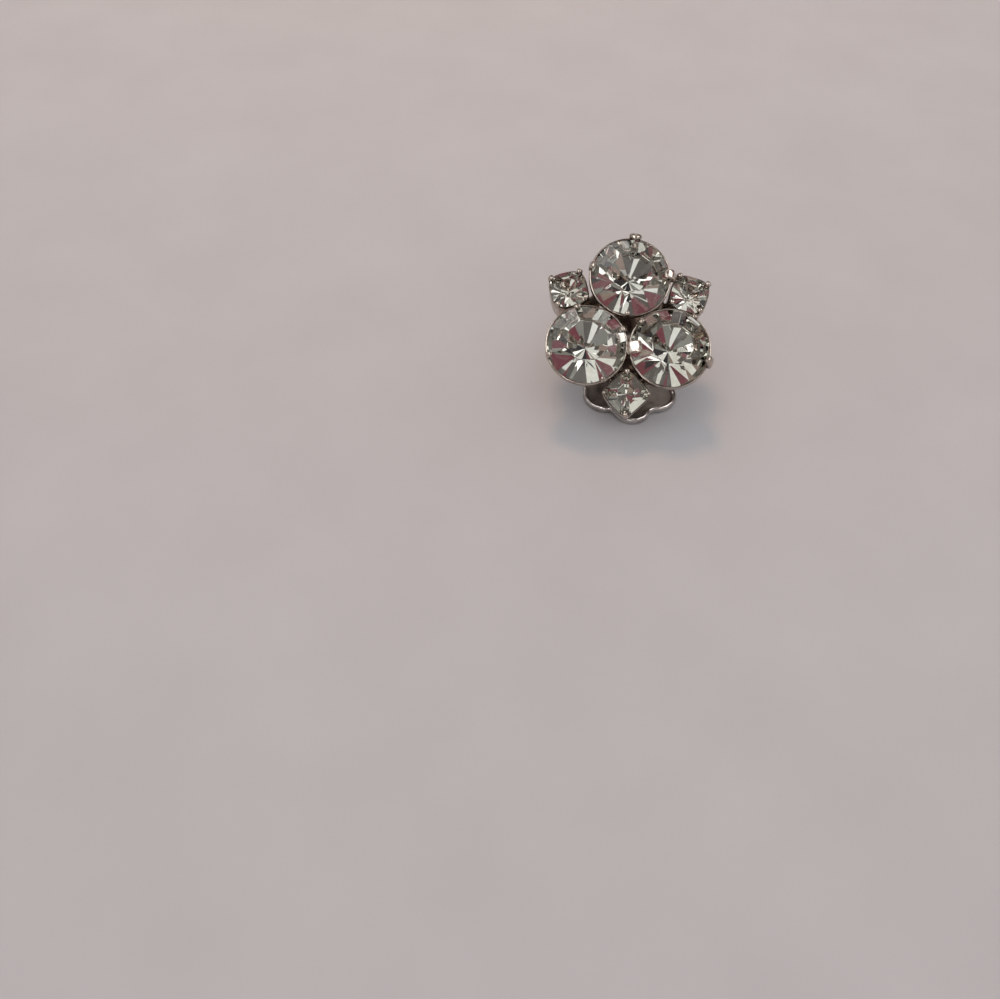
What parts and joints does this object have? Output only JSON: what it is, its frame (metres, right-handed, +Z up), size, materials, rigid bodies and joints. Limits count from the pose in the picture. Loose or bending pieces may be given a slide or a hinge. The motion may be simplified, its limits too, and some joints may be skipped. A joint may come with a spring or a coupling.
{
  "type": "clip on earring",
  "caption": "Rhinestone flower earring: round and small square foiled stones in prong cups on a ring, with a hinged clip whose scalloped paddle lies flat.",
  "frame": {"origin": "on the flat underside of the paddle, where the earring lies on a table, straight below the middle of the flower", "axes": "+Z up from the table, +Y from the paddle's free tip towards its hinge, +X across the flower to the right as its face is seen"},
  "size_m": [0.0237, 0.0227, 0.0185],
  "materials": {
    "plated_metal": "bright silver-coloured plate, worn warm grey in the corners",
    "paddle_metal": "silver-coloured plate, dulled inside the dish",
    "pin_metal": "polished",
    "spring_metal": "spring steel",
    "round_stone": "clear cut glass on silver foil",
    "small_stone": "clear cut glass on silver foil"
  },
  "bodies": {
    "paddle": {"clip_paddle": "paddle_metal"},
    "flower": {"setting": "plated_metal", "stone_top": "round_stone", "stone_left": "round_stone", "stone_right": "round_stone", "small_stone_left": "small_stone", "small_stone_right": "small_stone", "small_stone_bottom": "small_stone", "hinge_pin": "pin_metal", "spring_leaf": "spring_metal"}
  },
  "joints": [
    {"name": "clip_hinge", "type": "hinge", "parent": "paddle", "child": "flower", "pos_m": [0.001, 0.01011, 0.0015], "axis": [-1, 0, 0], "range_deg": [0, 80]}
  ]
}
